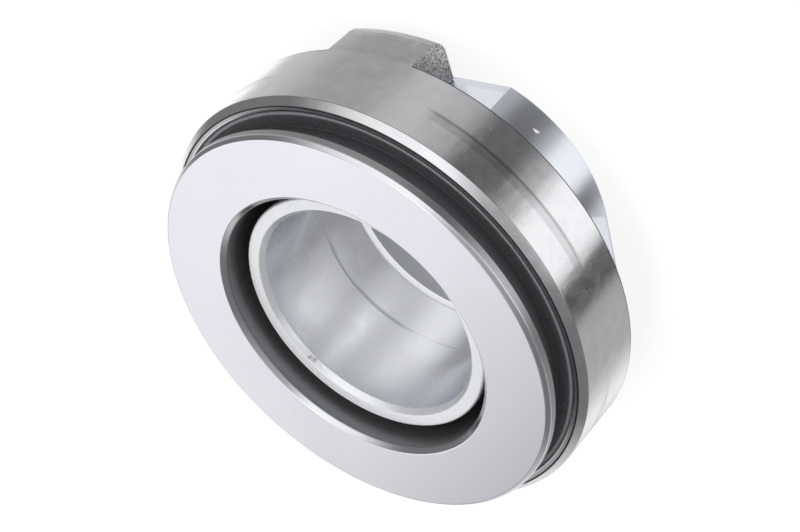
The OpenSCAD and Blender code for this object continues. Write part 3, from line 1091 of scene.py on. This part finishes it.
@dataclass(frozen=True)
class Studio:
    """The room that lights the part and that its metal mirrors. Millimetres; a light level of 1 is white."""

    STEPS = 96

    dim_level: float = 0.24
    patches: tuple[LightPatch, ...] = (
        LightPatch("pale floor", 0, 360, 1, -66, -6, 8, 0.33),
        LightPatch("overhead softbox", 0, 360, 1, 68, 100, 6, 0.76),
        LightPatch("key softbox", 92, 38, 20, 26, 78, 10, 0.98),
        LightPatch("key's spill", 45, 55, 40, 38, 100, 12, 0.28),
        LightPatch("high side softbox", 14, 20, 7, 25, 42, 4, 0.8),
        LightPatch("front softbox", -153, 26, 6, 24, 66, 8, 0.88),
        LightPatch("low side softbox", 7, 18, 6, -62, -8, 12, 0.85),
        LightPatch("flag beside it", -23, 10, 3, -80, -8, 8, -0.44),
        LightPatch("flag before the lug", 53, 15, 6, -80, -8, 8, -0.40),
        LightPatch("low right softbox", -97, 16, 15, -62, 18, 10, 0.55),
        LightPatch("low left softbox", 180, 18, 16, -62, -14, 10, 0.16),
        LightPatch("left window", -152, 17, 7, -62, 0, 7, 0.66),
        LightPatch("far flag", 130, 22, 10, -62, -8, 8, -0.07),
        LightPatch("low fill", 97, 12, 14, -62, -14, 10, 0.18),
    )
    ring_level: float = 0.40
    ring_patches: tuple[LightPatch, ...] = (
        LightPatch("left half", -14, 35, 10, -36, 0, 8, 0.44),
        LightPatch("right half", 92, 68, 10, -90, 0, 5, 0.37),
        LightPatch("narrow tube", 54, 10, 6, -37, 0, 5, 0.85),
        LightPatch("wide tube", 122, 24, 4, -90, 0, 5, 0.20),
        LightPatch("inner tube", 136, 24, 6, -90, -31, 3, 0.26),
        LightPatch("outer rim", 42, 88, 10, -32, -10, 3, 0.26),
    )
    ring_r: Pair = (12.0, 70.0)
    ring_z: float = -35.0
    floor_half: float = 2000.0
    floor_z: float = -0.05
    floor_level: float = 0.86
    floor_colour: str = "#8c8c8c"
    paper_z: float = -0.03
    paper_colour: str = "#b4b6bb"
    well_r: float = 22.4
    pad_r: float = 33.0
    pad_level: float = 0.6
    card_z: float = -0.02
    card_level: float = 1.15
    cards: tuple[tuple[float, float, float, float], ...] = (
        (36.5, 48, -9, 9), (-48, -36.5, -9, 9), (10.5, 19, 36.5, 44),
        (-19, -10.5, 36.5, 44), (10.5, 19, -44, -36.5), (-19, -10.5, -44, -36.5))
    lamp_z: float = 500.0
    lamp_r: float = 200.0
    lamp_watts: float = 0.52

    def light(self) -> None:
        """Builds the world: the patches add up, and the camera itself sees plain white."""
        world = bpy.data.worlds.new("studio")
        bpy.context.scene.world = world
        tree = cleared(world)
        level = self.level(tree, add(tree, "TexCoord").outputs["Generated"], self.dim_level, self.patches)
        seen = add(tree, "LightPath").outputs["Is Camera Ray"]
        strength = add(tree, "Mix", {"Factor": seen, "A": level, "B": 1.0}, data_type="FLOAT")
        room = add(tree, "Background", {"Color": linear(WHITE), "Strength": strength})
        add(tree, "OutputWorld", {"Surface": room})

    def level(self, tree: Tree, way: Source, base: float, patches: tuple[LightPatch, ...]) -> Node:
        """Adds up patches of light.

        Args:
            tree: The tree that takes the nodes.
            way: A vector that points from the part's foot to where the light comes from.
            base: The level where no patch lies.
            patches: The patches.

        Returns:
            The level.
        """
        way = add(tree, "VectorMath", {0: way}, operation="NORMALIZE")
        parts = add(tree, "SeparateXYZ", {0: way}).outputs
        azimuth = add(tree, "Math", {0: parts["Y"], 1: parts["X"]}, operation="ARCTAN2")
        elevation = add(tree, "Math", {0: parts["Z"]}, operation="ARCSINE")
        total: Value = base
        for patch in patches:
            aside = add(tree, "Math", {0: azimuth, 1: math.radians(patch.azimuth)}, operation="SUBTRACT")
            aside = add(tree, "Math", {0: aside, 1: math.pi, 2: -math.pi}, operation="WRAP")
            across = band(tree, aside, 0.0, math.radians(patch.half_width), math.radians(patch.side_soft))
            upright = band(tree, elevation, math.radians(patch.low + patch.high) / 2,
                           math.radians(patch.high - patch.low) / 2, math.radians(patch.edge_soft))
            mask = add(tree, "Math", {0: across, 1: upright}, operation="MULTIPLY", label=patch.name)
            total = add(tree, "Math", {0: mask, 1: patch.level, 2: total}, operation="MULTIPLY_ADD")
        return add(tree, "Math", {0: total, 1: 0.0}, operation="MAXIMUM")

    def hang_lamp(self) -> None:
        """Hangs a lamp over the part that lights what scatters; the metal mirrors the softbox behind it instead."""
        lamp = bpy.data.lights.new("overhead_lamp", "AREA")
        lamp.shape, lamp.size, lamp.energy = "DISK", 2 * self.lamp_r * MM, self.lamp_watts
        thing = new_object("overhead_lamp", lamp)
        thing.location = (0.0, 0.0, self.lamp_z * MM)
        thing.visible_camera = thing.visible_glossy = False

    def lay_floor(self) -> None:
        """Lays the white floor, the papers under the part, with an unlit greyer one as painted shade under the bore,
        and the lamps and cards that only its metal mirrors.
        """
        half = self.floor_half
        floor = self.sheet("white_paper_floor", self.rectangle(-half, half, -half, half), self.floor_z,
                           self.glowing("white_paper", self.floor_level, self.floor_colour))
        floor.visible_glossy = floor.visible_diffuse = floor.visible_shadow = False
        # Painted shade: under the bore the paper is greyer and doesn't glow, standing for the floor's shade there;
        # light that comes down the bore still lights it
        well = self.sheet("shade_paper_under_bore", self.circle(self.well_r), self.paper_z,
                          self.glowing("shade_paper", 0.0, self.paper_colour))
        well.visible_glossy = False
        self.sheet("backlit_paper_under_flange", self.circle(self.well_r) + self.circle(self.pad_r), self.paper_z,
                   self.glowing("backlit_paper", self.pad_level, self.paper_colour))
        lamp = self.glowing("ring_lamp", 0.0)
        tree = lamp.node_tree
        level = self.level(tree, add(tree, "TexCoord").outputs["Object"], self.ring_level, self.ring_patches)
        feed(tree, tree.nodes["Emission"], {"Strength": level})
        inner, outer = (self.circle(radius) for radius in self.ring_r)
        mirrored = [self.sheet("ring_lamp_below", inner + outer, self.ring_z, lamp)]
        white = self.glowing("white_card", self.card_level)
        for i, card in enumerate(self.cards):
            mirrored.append(self.sheet(f"white_card_{i}", self.rectangle(*card), self.card_z, white))
        for thing in mirrored:
            thing.visible_camera = thing.visible_diffuse = thing.visible_shadow = False

    def rectangle(self, left: float, right: float, near: float, far: float) -> Outline:
        """Gives the corners of a rectangle."""
        return [(left, near), (right, near), (right, far), (left, far)]

    def circle(self, radius: float) -> Outline:
        """Gives the points of a circle."""
        return arc((0.0, 0.0), radius, 0, 360 - 360 / self.STEPS, self.STEPS - 1)

    def sheet(self, name: str, corners: Outline, height: float, material: Material) -> Thing:
        """Lays one flat sheet of the stage.

        Args:
            name: The sheet's name.
            corners: Its outline, or the inner and the outer circle of a ring.
            height: Its height.
            material: Its material.

        Returns:
            The sheet.
        """
        mesh = bpy.data.meshes.new(name)
        turns = [(i, (i + 1) % self.STEPS) for i in range(self.STEPS)]
        ring = [(i, j, j + self.STEPS, i + self.STEPS) for i, j in turns]
        points = [Vector((x, y, height)) * MM for x, y in corners]
        mesh.from_pydata(points, [], ring if len(points) == 2 * self.STEPS else [tuple(range(len(points)))])
        mesh.materials.append(material)
        thing = new_object(name, mesh)
        return thing

    def glowing(self, name: str, strength: float, paper: str = "#000000") -> Material:
        """Makes paper that glows, so that it stays pale and still takes a soft shadow.

        Args:
            name: The material's name.
            strength: The strength of its own light.
            paper: The colour of the paper, which the studio lights.

        Returns:
            The material.
        """
        material = bpy.data.materials.new(name)
        tree = cleared(material)
        sheet = add(tree, "BsdfDiffuse", {"Color": linear(paper)})
        glow = add(tree, "Emission", {"Color": linear(WHITE), "Strength": strength})
        both = add(tree, "AddShader", {0: sheet, 1: glow})
        add(tree, "OutputMaterial", {"Surface": both})
        return material


@dataclass(frozen=True)
class ViewCamera:
    """A camera that looks down on the contact face from beside a lug, turned so the part leans. Metres."""

    location: Vec3 = (0.24214, 0.25966, 0.27616)
    right: Vec3 = (0.80847, -0.20570, -0.55142)
    up: Vec3 = (-0.20293, 0.78205, -0.58926)
    lens: float = 106.6
    sensor: float = 36.0
    clip: Pair = (0.01, 20.0)

    def place(self) -> None:
        """Makes the camera and hands it to the scene."""
        camera = bpy.data.cameras.new("view")
        camera.lens, camera.sensor_width = self.lens, self.sensor
        camera.clip_start, camera.clip_end = self.clip
        thing = new_object("view", camera)
        right, up = Vector(self.right).normalized(), Vector(self.up).normalized()
        axes = Matrix((right, up, right.cross(up))).transposed().to_4x4()
        thing.matrix_world = Matrix.Translation(self.location) @ axes
        bpy.context.scene.camera = thing


def main() -> None:
    """Builds the pieces in order, dresses them and sets the studio round them."""
    logging.basicConfig(level=logging.INFO, format="%(message)s")
    materials = {slot: finish.material() for slot, finish in FINISHES.items()}
    lathe = Lathe()
    for kind in (GuideSleeve, Housing, ContactRing, FrontSeal):
        piece = kind()
        piece.material = materials[piece.slot]
        piece.place(piece.build(lathe))
    BearingInside().dress(materials)
    studio = Studio()
    studio.light()
    studio.hang_lamp()
    studio.lay_floor()
    ViewCamera().place()
    bpy.context.scene.view_settings.view_transform = "Standard"


if __name__ == "__main__":
    main()
